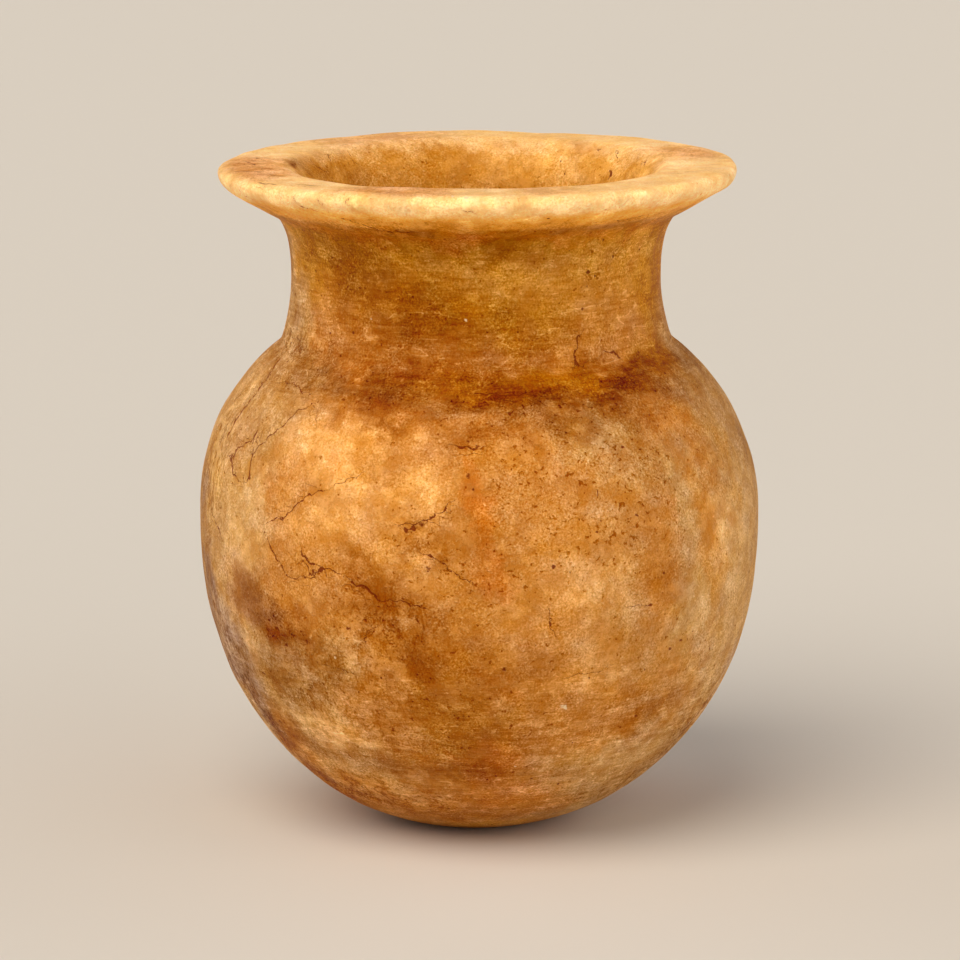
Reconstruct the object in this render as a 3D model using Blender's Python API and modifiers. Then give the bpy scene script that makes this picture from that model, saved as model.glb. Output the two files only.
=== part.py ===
"""Alabaster pot: a globular stone jar with a tall neck and a broad flat lip, hollow and open at the top.

Run it with: blender --background --python part.py

The jar is one piece of stone, so it is one object. Its profile starts at the middle of the inner floor, climbs the
inner wall, turns over the lip, comes down the outside and ends at the middle of the flat underside. A Screw
modifier turns it about Z. Units are metres, +Z is up, and the origin is the centre of the underside.
"""

import math

import bpy

NAME = "alabaster_pot"

# Overall
HEIGHT = 0.150
TURN_STEPS = 64

# Outside of the body: one superellipse quarter above the widest line and one below it
BODY_RADIUS = 0.0634
WIDEST_HEIGHT = 0.0692
SHOULDER_RISE = 0.0528
SHOULDER_POWER = 2.23
BELLY_DROP = 0.0710
BELLY_POWER = 2.14

# Neck: a waist with a hollow flare above it and a gentler one down to the shoulder
NECK_FOOT_RADIUS = 0.0433
NECK_FOOT_HEIGHT = 0.1119
SHOULDER_START_DROP = 0.0021
WAIST_RADIUS = 0.04165
WAIST_HEIGHT = 0.1257
FLARE_POWER = 2.9
FLARE_TOP_RADIUS = 0.04455

# Lip: flat on top, rounded at the rim, with a straight sloping underside
LIP_RADIUS = 0.0583
RIM_RUN = 0.0036
RIM_RISE = 0.0014
RIM_DROP = 0.0037
UNDERSIDE_SLOPE = math.radians(29.6)

# Inside: a funnel-shaped mouth, a straight throat and a round hollow
MOUTH_RADIUS = 0.0458
THROAT_RADIUS = 0.0352
MOUTH_DEPTH = 0.0150
WALL = 0.0070
FLOOR = 0.0120
INNER_SHOULDER_RISE = 0.0465

# Curve points along each stretch
BODY_POINTS = 12
NECK_POINTS = 6
RIM_POINTS = 4
MOUTH_POINTS = 6
HOLLOW_POINTS = 8

# Warm honey calcite, in linear colour
STONE_COLOUR = (0.56, 0.27, 0.06, 1.0)
STONE_ROUGHNESS = 0.5


def spaced(start, end, count):
    """The given number of evenly spaced values from start to end, both included."""
    return [start + (end - start) * i / (count - 1) for i in range(count)]


def quarter(reach_r, reach_z, power, start, end, count):
    """Points (r, z) of a superellipse about the origin, from one angle to the other."""
    points = []
    for angle in spaced(start, end, count):
        r = reach_r * max(math.cos(angle), 0.0) ** (2 / power)
        z = reach_z * max(math.sin(angle), 0.0) ** (2 / power)
        points.append((r, z))
    return points


def angle_at_height(height, reach_z, power):
    """The angle at which such a superellipse passes this height."""
    return math.asin((height / reach_z) ** (power / 2))


def angle_at_radius(radius, reach_r, power):
    """The angle at which such a superellipse passes this radius."""
    return math.acos((radius / reach_r) ** (power / 2))


def hollow():
    """The inner wall, from the middle of the floor up to the foot of the throat."""
    radius = BODY_RADIUS - WALL
    drop = WIDEST_HEIGHT - FLOOR
    below = quarter(radius, drop, BELLY_POWER, math.pi / 2, 0.0, HOLLOW_POINTS + 2)
    throat = angle_at_radius(THROAT_RADIUS, radius, SHOULDER_POWER)
    above = quarter(radius, INNER_SHOULDER_RISE, SHOULDER_POWER, 0.0, throat, HOLLOW_POINTS)
    return [(r, WIDEST_HEIGHT - z) for r, z in below] + [(r, WIDEST_HEIGHT + z) for r, z in above[1:]]


def mouth():
    """The funnel from the throat up to the flat top of the lip: an elliptical quarter that bulges into the mouth."""
    run = MOUTH_RADIUS - THROAT_RADIUS
    points = []
    for angle in spaced(0.0, math.pi / 2, MOUTH_POINTS):
        r = MOUTH_RADIUS - run * math.cos(angle)
        z = HEIGHT - MOUTH_DEPTH * (1 - math.sin(angle))
        points.append((r, z))
    return points


def rim():
    """The rounded edge of the lip, from its flat top round to where the sloping underside starts."""
    centre = LIP_RADIUS - RIM_RUN
    level = HEIGHT - RIM_RISE
    upper = [
        (centre + RIM_RUN * math.cos(angle), level + RIM_RISE * math.sin(angle))
        for angle in spaced(math.pi / 2, 0.0, RIM_POINTS)
    ]
    tangent = math.atan2(RIM_DROP * math.cos(UNDERSIDE_SLOPE), RIM_RUN * math.sin(UNDERSIDE_SLOPE))
    lower = [
        (centre + RIM_RUN * math.cos(angle), level - RIM_DROP * math.sin(angle))
        for angle in spaced(0.0, tangent, RIM_POINTS)
    ]
    return upper + lower[1:]


def neck(underside_start):
    """The outside of the neck, from the end of the lip's underside down to the foot of the neck."""
    start_r, start_z = underside_start
    flare_top = start_z - (start_r - FLARE_TOP_RADIUS) * math.tan(UNDERSIDE_SLOPE)
    points = []
    for t in spaced(0.0, 1.0, NECK_POINTS):
        r = WAIST_RADIUS + (FLARE_TOP_RADIUS - WAIST_RADIUS) * (1 - t) ** FLARE_POWER
        points.append((r, flare_top + (WAIST_HEIGHT - flare_top) * t))
    for t in spaced(0.0, 1.0, NECK_POINTS)[1:]:
        r = WAIST_RADIUS + (NECK_FOOT_RADIUS - WAIST_RADIUS) * t**2
        points.append((r, WAIST_HEIGHT + (NECK_FOOT_HEIGHT - WAIST_HEIGHT) * t))
    return points


def body():
    """The outside of the body, from the top of the shoulder down to the edge of the flat underside."""
    shoulder_top = NECK_FOOT_HEIGHT - SHOULDER_START_DROP - WIDEST_HEIGHT
    start = angle_at_height(shoulder_top, SHOULDER_RISE, SHOULDER_POWER)
    above = quarter(BODY_RADIUS, SHOULDER_RISE, SHOULDER_POWER, start, 0.0, BODY_POINTS)
    end = angle_at_height(WIDEST_HEIGHT, BELLY_DROP, BELLY_POWER)
    below = quarter(BODY_RADIUS, BELLY_DROP, BELLY_POWER, 0.0, end, BODY_POINTS)
    return [(r, WIDEST_HEIGHT + z) for r, z in above] + [(r, WIDEST_HEIGHT - z) for r, z in below[1:]]


def stone():
    """Plain honey-coloured calcite."""
    material = bpy.data.materials.new(NAME)
    material.use_nodes = True
    shader = material.node_tree.nodes["Principled BSDF"]
    shader.inputs["Base Color"].default_value = STONE_COLOUR
    shader.inputs["Roughness"].default_value = STONE_ROUGHNESS
    shader.inputs["Metallic"].default_value = 0.0
    return material


def turned(name, profile, collection):
    """An object made by turning a profile of (r, z) points about Z."""
    mesh = bpy.data.meshes.new(name)
    edges = [(i, i + 1) for i in range(len(profile) - 1)]
    mesh.from_pydata([(r, 0.0, z) for r, z in profile], edges, [])
    pot = bpy.data.objects.new(name, mesh)
    collection.objects.link(pot)
    screw = pot.modifiers.new("turned", "SCREW")
    screw.steps = TURN_STEPS
    screw.render_steps = TURN_STEPS
    screw.use_merge_vertices = True
    screw.merge_threshold = 0.00001
    screw.use_smooth_shade = True
    mesh.materials.append(stone())
    return pot


def main():
    for old in list(bpy.data.objects):
        bpy.data.objects.remove(old)
    collection = bpy.data.collections.new(NAME)
    bpy.context.scene.collection.children.link(collection)
    edge = rim()
    outline = hollow() + mouth() + edge + neck(edge[-1]) + body() + [(0.0, 0.0)]
    turned(NAME, outline, collection)


main()
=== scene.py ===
"""Looks of the alabaster pot: one finely modelled stone vessel, weathered and stained, on a pale floor.

The pot is carved from one block of calcite alabaster, so the visual model is one closed surface. It is a
function of two parameters: azimuth round the pot, and distance along its outline, which runs from the
middle of the inner floor, up the inner wall, over the lip, down the outside and in to the middle of the
underside. Lengths are in millimetres until the mesh is made. Azimuth is in degrees: 0 faces the viewer
(-Y) and 90 is on the right (+X).
"""
import math

import bpy
import numpy as np
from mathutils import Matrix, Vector


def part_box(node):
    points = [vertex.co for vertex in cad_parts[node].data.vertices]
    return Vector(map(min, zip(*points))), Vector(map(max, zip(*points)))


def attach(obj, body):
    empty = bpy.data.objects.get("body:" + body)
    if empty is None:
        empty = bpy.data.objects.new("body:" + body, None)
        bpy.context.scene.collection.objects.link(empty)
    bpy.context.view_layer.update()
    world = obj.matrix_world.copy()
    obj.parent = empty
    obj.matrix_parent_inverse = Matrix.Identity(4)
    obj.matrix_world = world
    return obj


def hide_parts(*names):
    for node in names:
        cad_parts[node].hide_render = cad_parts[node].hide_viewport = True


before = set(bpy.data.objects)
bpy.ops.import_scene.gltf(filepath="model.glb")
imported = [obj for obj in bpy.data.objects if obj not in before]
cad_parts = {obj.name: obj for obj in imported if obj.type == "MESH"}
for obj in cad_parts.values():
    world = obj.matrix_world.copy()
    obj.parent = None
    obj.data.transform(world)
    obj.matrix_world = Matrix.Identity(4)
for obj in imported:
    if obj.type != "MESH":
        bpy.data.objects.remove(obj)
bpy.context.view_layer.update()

NODE = "alabaster_pot"
MM = 0.001

# Outline: the same form as the CAD solid, whose height and width are read from the frame
LOW, HIGH = (np.array(corner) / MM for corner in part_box(NODE))
HEIGHT = HIGH[2] - LOW[2]
BODY_RADIUS = (HIGH[0] - LOW[0]) / 2
WIDEST_HEIGHT = 69.2
SHOULDER_RISE, SHOULDER_POWER = 52.8, 2.23
BELLY_DROP, BELLY_POWER = 71.0, 2.14
NECK_FOOT_RADIUS, NECK_FOOT_HEIGHT, SHOULDER_START_DROP = 43.3, 111.9, 2.1
WAIST_RADIUS, WAIST_HEIGHT = 41.65, 125.7
FLARE_TOP_RADIUS, FLARE_POWER = 44.55, 2.9
LIP_RADIUS, RIM_RUN, RIM_RISE, RIM_DROP = 58.3, 3.6, 1.4, 3.7
UNDERSIDE_SLOPE = math.radians(29.6)
MOUTH_RADIUS, THROAT_RADIUS, MOUTH_DEPTH = 45.8, 35.2, 15.0
WALL, FLOOR, INNER_SHOULDER_RISE = 7.0, 12.0, 46.5
EDGE_WEAR = 0.55  # how far the arrises of the outline are worn round
OUTLINE_STEP = 0.05  # between the points of the outline
LONG_CURVE_POINTS, CURVE_POINTS = 400, 200  # on its curves before they are spaced evenly
LEAST_RADIUS = 5  # nearer the axis than this, an arc is measured as if it lay here


def superellipse(reach_r, reach_z, power, start, end):
    """Finely spaced points (r, z): reach times the cosine or sine of the angle, to the power 2 / power."""
    angle = np.linspace(start, end, LONG_CURVE_POINTS)
    r = reach_r * np.cos(angle).clip(0) ** (2 / power)
    z = reach_z * np.sin(angle).clip(0) ** (2 / power)
    return np.stack([r, z], axis=1)


def outline():
    """The whole outline as evenly spaced points (r, z), and where along it each stretch starts."""
    up, down = np.array([1, 1]), np.array([1, -1])
    widest = np.array([0, WIDEST_HEIGHT])
    inner = BODY_RADIUS - WALL
    throat = math.acos((THROAT_RADIUS / inner) ** (SHOULDER_POWER / 2))
    hollow_low = widest + down * superellipse(inner, WIDEST_HEIGHT - FLOOR, BELLY_POWER, math.pi / 2, 0)
    hollow_high = widest + up * superellipse(inner, INNER_SHOULDER_RISE, SHOULDER_POWER, 0, throat)

    angle = np.linspace(0, math.pi / 2, CURVE_POINTS)
    mouth_r = MOUTH_RADIUS - (MOUTH_RADIUS - THROAT_RADIUS) * np.cos(angle)
    mouth = np.stack([mouth_r, HEIGHT - MOUTH_DEPTH * (1 - np.sin(angle))], axis=1)

    rim_middle = np.array([LIP_RADIUS - RIM_RUN, HEIGHT - RIM_RISE])
    upper_rim = rim_middle + up * superellipse(RIM_RUN, RIM_RISE, 2, math.pi / 2, 0)
    tangent = math.atan2(RIM_DROP * math.cos(UNDERSIDE_SLOPE), RIM_RUN * math.sin(UNDERSIDE_SLOPE))
    lower_rim = rim_middle + down * superellipse(RIM_RUN, RIM_DROP, 2, 0, tangent)

    flare_top = lower_rim[-1, 1] - (lower_rim[-1, 0] - FLARE_TOP_RADIUS) * math.tan(UNDERSIDE_SLOPE)
    t = np.linspace(0, 1, CURVE_POINTS)
    flare_r = WAIST_RADIUS + (FLARE_TOP_RADIUS - WAIST_RADIUS) * (1 - t) ** FLARE_POWER
    flare = np.stack([flare_r, flare_top + (WAIST_HEIGHT - flare_top) * t], axis=1)
    foot_r = WAIST_RADIUS + (NECK_FOOT_RADIUS - WAIST_RADIUS) * t**2
    foot = np.stack([foot_r, WAIST_HEIGHT + (NECK_FOOT_HEIGHT - WAIST_HEIGHT) * t], axis=1)

    shoulder_top = NECK_FOOT_HEIGHT - SHOULDER_START_DROP - WIDEST_HEIGHT
    start = math.asin((shoulder_top / SHOULDER_RISE) ** (SHOULDER_POWER / 2))
    end = math.asin((WIDEST_HEIGHT / BELLY_DROP) ** (BELLY_POWER / 2))
    shoulder = widest + up * superellipse(BODY_RADIUS, SHOULDER_RISE, SHOULDER_POWER, start, 0)
    belly = widest + down * superellipse(BODY_RADIUS, BELLY_DROP, BELLY_POWER, 0, end)

    stretches = {
        "hollow": np.concatenate([hollow_low, hollow_high]),
        "mouth": mouth,
        "lip": np.concatenate([upper_rim, lower_rim]),
        "neck": np.concatenate([flare, foot]),
        "body": np.concatenate([shoulder, belly]),
        "underside": np.zeros((1, 2)),
    }
    points = np.concatenate(list(stretches.values()))
    along = np.concatenate([[0], np.cumsum(np.hypot(*np.diff(points, axis=0).T))])
    firsts = np.cumsum([0] + [len(stretch) for stretch in stretches.values()])[:-1]
    starts = dict(zip(stretches, along[firsts]))
    starts["underside"] = along[-2]
    starts["end"] = along[-1]

    even = np.arange(0, along[-1], OUTLINE_STEP)
    r, z = np.interp(even, along, points[:, 0]), np.interp(even, along, points[:, 1])
    reach = int(4 * EDGE_WEAR / OUTLINE_STEP)
    bell = np.exp(-0.5 * (np.arange(-reach, reach + 1) * OUTLINE_STEP / EDGE_WEAR) ** 2)
    bell /= bell.sum()
    r = np.convolve(np.pad(r, reach, mode="reflect", reflect_type="odd"), bell, "valid")
    z = np.convolve(np.pad(z, reach, mode="edge"), bell, "valid")
    return even, r.clip(0), z, starts


ALONG, OUTLINE_R, OUTLINE_Z, STARTS = outline()

# Bands round the lip: where the middle of each lies along the outline, and how far it reaches
INNER_LIP, ROSY_REACH = STARTS["lip"] - 5, 8
LIP_TOP, CREAM_INWARD, CREAM_OUTWARD = STARTS["lip"] - 0.5, 15, 9.2
# the peach band under the lip is partly painted light on the lip's underside
LIP_UNDER, PEACH_REACH = STARTS["lip"] + 11, 5.5
GOLDEN_START, GOLDEN_RUN = STARTS["lip"] - 9, 8  # inwards from here the mouth turns golden
THROAT_RUN, MOUTH_RUN = 25, 16  # how far the inner wall is read below and above the start of the mouth
TOOLED_BANDS = [(120, 26), (22, 30)]  # height and reach of the bands that show tool marks


def radius_at(along):
    """The outline's radius at this distance along it."""
    return np.interp(along, ALONG, OUTLINE_R)


def height_at(along):
    """The outline's height at this distance along it."""
    return np.interp(along, ALONG, OUTLINE_Z)


def along_outside(height):
    """Distance along the outline at which the outside, below the top of the lip, has this height."""
    outside = ALONG >= STARTS["lip"]
    return np.interp(-np.asarray(height, float), -OUTLINE_Z[outside], ALONG[outside])


def along_top(radius):
    """Distance along the outline at which the flat top of the lip has this radius."""
    return STARTS["lip"] - (LIP_RADIUS - RIM_RUN - np.asarray(radius, float))


def along_mouth(height):
    """Distance along the outline at which the inner wall of the mouth and throat has this height."""
    inside = (ALONG > STARTS["mouth"] - THROAT_RUN) & (ALONG < STARTS["mouth"] + MOUTH_RUN)
    return np.interp(height, OUTLINE_Z[inside], ALONG[inside])


# How far apart the mesh's rows and columns are, in millimetres and degrees
ROW_GAPS = {"hollow": 5.0, "mouth": 1.3, "lip": 0.65, "neck": 1.05, "body": 1.15, "underside": 1.7}
FRONT_GAP, BACK_GAP = 0.86, 1.5
FRONT_HALF = 105  # degrees to either side of the front within which the columns are close

# How the carving strays from a true turned form
AXIS_HEIGHTS = [0, 5, 12, 20, 50, 75, 107, 126, 136, 146, 150]
# How far the middle lies to the right at each of those heights
AXIS_SHIFTS = [-0.9, -0.9, -0.3, 0.1, 0.15, 0, -0.7, -0.8, -0.8, -0.45, -0.4]
LIP_TILT = math.radians(0.42)  # the right of the lip is the higher side
TILT_START, TILT_RUN = 110, 36  # the height from which the tilt grows, and over which it does
SEAT_HEIGHT = 8  # the carving's unevenness fades out over this height, so that the underside stays flat
SWELLS = [(50, 0.12, 3), (22, 0.08, 4), (9, 0.04, 5)]  # size, height and seed of each unevenness
WAVES, WAVE_LENGTHS = 24, (0.7, 1.6)  # the waves that make one up, and their lengths as parts of its size

# Cracks: half width and depth, then points (azimuth, height)
FINEST, HAIRLINE, CRACK, OPEN_CRACK = (0.035, 0.05), (0.06, 0.08), (0.09, 0.14), (0.12, 0.24)
SOIL_LINE = (0.28, 0.06)  # a shallow line that soil has filled
SHOULDER_CRACKS = [
    (CRACK, [(-67, 104.5), (-68, 100), (-70, 95.5), (-71, 89.5)]),
    (HAIRLINE, [(-67, 104), (-72, 109)]),
    (FINEST, [(-61, 104), (-57, 104.5), (-52, 104.5), (-49, 103.5), (-44, 103.5)]),
    (HAIRLINE, [(-77, 100), (-79, 97)]),
    (
        HAIRLINE,
        [(-43, 101.5), (-47, 100), (-49, 97), (-53, 93.5), (-56, 90), (-56, 87), (-55, 84.5), (-57, 82.5)],
    ),
    (HAIRLINE, [(-58, 96), (-58, 92.5), (-61, 91), (-64, 89), (-64, 86), (-62, 84), (-58, 83)]),
    (FINEST, [(-64, 88.5), (-67, 87)]),
    (FINEST, [(-75, 76), (-70, 73), (-66, 70.5), (-65, 68)]),
    (FINEST, [(-73, 112), (-60, 113)]),
    (CRACK, [(-6, 95.9), (-3, 95.6), (-1, 95.2), (1.5, 95.4)]),
    (CRACK, [(7, 102.2), (9, 102.6)]),
    (FINEST, [(-41, 101), (-39, 97)]),
]
BODY_CRACKS = [
    (FINEST, [(-24, 89.5), (-28, 87.5), (-32, 85.5)]),
    (HAIRLINE, [(-32, 85.5), (-37, 83.5), (-40, 80.5), (-43, 77.5), (-45, 77.5), (-48, 75.5)]),
    (FINEST, [(-49, 75), (-47, 71.5), (-44, 68), (-41, 64.5), (-37, 65.5), (-33, 65.5)]),
    (HAIRLINE, [(-38, 72.5), (-38, 70.5), (-35, 68.5), (-31, 68), (-28, 67)]),
    (OPEN_CRACK, [(-28, 67), (-25, 65), (-23, 65), (-20, 62)]),
    (HAIRLINE, [(-20, 62), (-16, 62.5), (-13, 61.5), (-10, 61)]),
    (FINEST, [(17, 44), (20, 45), (25, 45), (29, 47)]),
    (HAIRLINE, [(-17, 79), (-12, 79.5), (-9, 81), (-7, 82.5), (-5, 85)]),
    (FINEST, [(-12, 73.5), (-8, 72), (-5, 69), (0, 66)]),
    (FINEST, [(-36, 46), (-31, 45.5), (-26, 44.5)]),
    (FINEST, [(-20, 57), (-24, 54), (-23, 51)]),
    (FINEST, [(14, 62), (14, 57), (16, 53)]),
    (FINEST, [(36, 59), (33, 60), (30, 59.5)]),
]
NECK_CRACKS = [
    (HAIRLINE, [(34, 118), (32, 116), (31, 114), (30, 112), (29, 109.5)]),
    (FINEST, [(29, 110), (32, 110), (36, 111)]),
    (HAIRLINE, [(38.5, 111.6), (41, 112.2), (44, 112.1), (46, 111.2), (46.8, 109.4)]),
    (HAIRLINE, [(-2, 106), (8, 105.5), (17, 105.5)]),
    (HAIRLINE, [(33, 105.5), (43, 105)]),
    (FINEST, [(28, 102.5), (34, 102.5)]),
    (HAIRLINE, [(-26, 140.6), (-19, 140.6), (-14, 141)]),
    (HAIRLINE, [(-40, 140), (-36, 139.8)]),
]
LIP_CRACKS = [
    (FINEST, [(-43, 149.3), (-43.5, 147.6), (-43, 146), (-40, 145.2), (-37, 144.3)]),
    (FINEST, [(-37, 144.3), (-33, 143.4), (-29, 142), (-25, 141)]),
    (FINEST, [(-28.5, 149.3), (-29.5, 148.2), (-28, 147)]),
    (FINEST, [(-36, 149.4), (-36.5, 148), (-35, 146)]),
    (FINEST, [(-65.5, 148.8), (-65, 147.2), (-62, 146), (-58, 145.3)]),
    (FINEST, [(34.5, 148), (33, 146.6), (32.5, 145.4)]),
    (FINEST, [(28, 142.4), (34, 142), (40, 142), (45, 142.6), (49, 143.2)]),
    (FINEST, [(-4, 147.6), (-1.5, 147), (0, 146.2)]),
]
HIDDEN_CRACKS = [
    (HAIRLINE, [(140, 100), (146, 93), (144, 85), (150, 78), (149, 70)]),
    (FINEST, [(146, 93), (154, 92), (160, 95)]),
    (FINEST, [(-150, 60), (-143, 55), (-141, 47), (-134, 42)]),
    (HAIRLINE, [(104, 62), (110, 58), (117, 58), (122, 53)]),
    (FINEST, [(-120, 118), (-124, 112), (-122, 106)]),
]
MOUTH_CRACKS = [
    (HAIRLINE, [(-115, 149.6), (-113, 148.6), (-113, 147.6), (-115, 146.4), (-118, 145.4)]),
    (HAIRLINE, [(-126, 149.6), (-124, 148.6), (-123, 147.6), (-123, 146.6)]),
    (HAIRLINE, [(-134, 149.5), (-134, 148.5), (-133, 147.1), (-134, 145.9)]),
    (HAIRLINE, [(-102, 149.9), (-98, 149.5), (-96, 149.0), (-94, 148.3)]),
    (HAIRLINE, [(130.5, 149.3), (128.5, 148.2), (127, 147.2)]),
]
# Cracks of the lip's flat top: half width and depth, then points (azimuth, radius)
LIP_TOP_CRACKS = [
    (SOIL_LINE, [(-76.5, 56.6), (-75, 54.7), (-74.5, 53.3), (-72, 51), (-72.5, 48.5)]),
    (SOIL_LINE, [(-79.5, 49.6), (-78, 48.4), (-76.5, 47.4)]),
    (SOIL_LINE, [(-66, 50.4), (-62, 48.8)]),
    (SOIL_LINE, [(-93, 52.2), (-90, 50.6), (-87, 49.6)]),
    (SOIL_LINE, [(-58, 56.6), (-52, 55.6)]),
    (SOIL_LINE, [(-48, 52.8), (-42, 51.4)]),
    (SOIL_LINE, [(-100, 51), (-96, 49)]),
]
WANDER, WANDER_LENGTH = 0.27, 3.4  # how far a crack strays sideways, and over what length
SECOND_WANDER, SECOND_LENGTH = 0.7, 0.43  # a second, finer wave, as parts of those
GROOVE_EDGE = 0.1  # how much wider the cut is to each side than the line of dirt in it
STEP = 0.1  # between the samples of a crack
CRACK_SEED = 8
TAPER_LENGTH, TAPER_END = 2.5, 0.3  # a crack narrows over this length, to this part of its width
STROKE_EDGE = 1.6  # a vertex this near a crack knows how far from it it lies

# Pits: azimuth, height, radius, depth
NAMED_PITS = [
    (36, 130, 0.5, 0.35), (39, 129, 0.45, 0.3), (36, 127, 0.45, 0.3), (40, 137, 0.5, 0.3),
    (8, 102, 0.7, 0.5), (-2, 96.5, 0.5, 0.35), (0, 95.5, 0.5, 0.4), (1.5, 95.4, 0.4, 0.35),
    (-2, 90, 0.7, 0.3), (-1, 87, 0.5, 0.35), (-13, 78.5, 0.9, 0.5), (-14.6, 78.1, 0.7, 0.4),
    (-11.6, 79.2, 0.6, 0.4), (-9.5, 80.6, 0.5, 0.35), (-3, 71, 0.5, 0.3), (33, 94, 0.4, 0.3),
    (-44, 49, 0.8, 0.5), (-38, 50.5, 0.6, 0.35), (-27, 55, 0.6, 0.3), (36, 59.5, 0.6, 0.35),
    (43, 48, 0.5, 0.3), (46, 49.5, 0.5, 0.3), (5, 47, 0.5, 0.35), (29.5, 145.6, 0.5, 0.25),
    (34, 122, 0.4, 0.2), (-46, 52, 0.7, 0.4), (-49, 51.5, 0.6, 0.3), (-35.5, 147, 0.4, 0.2),
    (14.5, 70, 0.5, 0.3), (16, 72, 0.45, 0.3), (18, 68.5, 0.4, 0.25), (24, 77, 0.5, 0.3),
    (25, 79, 0.35, 0.2), (-10, 69.5, 0.6, 0.3),
]
# Pits in the wall of the mouth: azimuth, height, radius, depth
MOUTH_PITS = [
    (138.5, 149.4, 0.55, 0.3), (137.8, 149.1, 0.45, 0.3), (130, 149.2, 0.5, 0.3),
    (128.5, 148.4, 0.4, 0.2), (110, 147.9, 0.5, 0.4), (111.5, 147.5, 0.35, 0.3), (107, 147, 0.3, 0.2),
    (126.5, 144.7, 0.4, 0.3), (125.5, 143.8, 0.45, 0.3), (126, 143, 0.4, 0.2), (138, 146, 0.35, 0.2),
    (150, 145.6, 0.35, 0.2), (147, 143.2, 0.4, 0.2), (-97.5, 149.2, 0.4, 0.2), (-101, 149.8, 0.4, 0.2),
    (-94, 148.4, 0.4, 0.2), (-162, 145.3, 0.4, 0.2), (98, 149.5, 0.3, 0.2),
]
# Sides of the pot as ranges of azimuth: towards the viewer, away, and both
FRONT_TURN, HIDDEN_TURN, WHOLE_TURN = (-88, 88), (88, 272), (0, 360)
# Scattered pits: how many on each side, and the ranges of their heights and radii
FRONT_PITS, HIDDEN_PITS, PIT_SEED = 90, 70, 21
PIT_HEIGHTS, PIT_RADII = (8, 146), (0.15, 0.36)
PIT_DEPTH = 0.5  # of a scattered pit, as a part of its radius
# Pale grains of spar that stand just proud: azimuth, height, radius, how proud
SPAR_GRAINS = [
    (-31, 47.7, 0.5, 0.15), (18, 37.8, 0.55, 0.2), (18.8, 37.2, 0.35, 0.15), (9, 22.6, 0.35, 0.1),
    (-40, 97.7, 0.4, 0.1), (-38.8, 97.4, 0.35, 0.1), (-3, 120.8, 0.35, 0.1), (-33, 120, 0.35, 0.1),
    (150, 60, 0.7, 0.2), (-2.5, 149.6, 0.6, 0.1), (-5.5, 149.8, 0.5, 0.1),
]
NOWHERE = 3.0  # the value, in radii, of a vertex that no pit or grain reaches
# Shallow flakes off the lip and the foot of the body: azimuth, height, radius, depth
FLAKES = [
    (-46, 147.5, 4.5, 0.35), (-38, 146.5, 4.0, 0.3), (-30, 147, 3.2, 0.25), (-66, 147.5, 3.0, 0.25),
    (71, 8, 6.0, 1.0), (60, 14, 3.5, 0.4), (-35, 10, 3.0, 0.3), (75, 36, 4.0, 0.3),
    (150, 147, 4.0, 0.35), (-165, 149.5, 1.2, 0.4),
]
# How near a crack, or the middle of a pit, the mesh is drawn together, and how strongly
STROKE_REACH, STROKE_PULL = 3.0, 2.4
PIT_REACH, PIT_PULL = 2.2, 1.6

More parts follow.
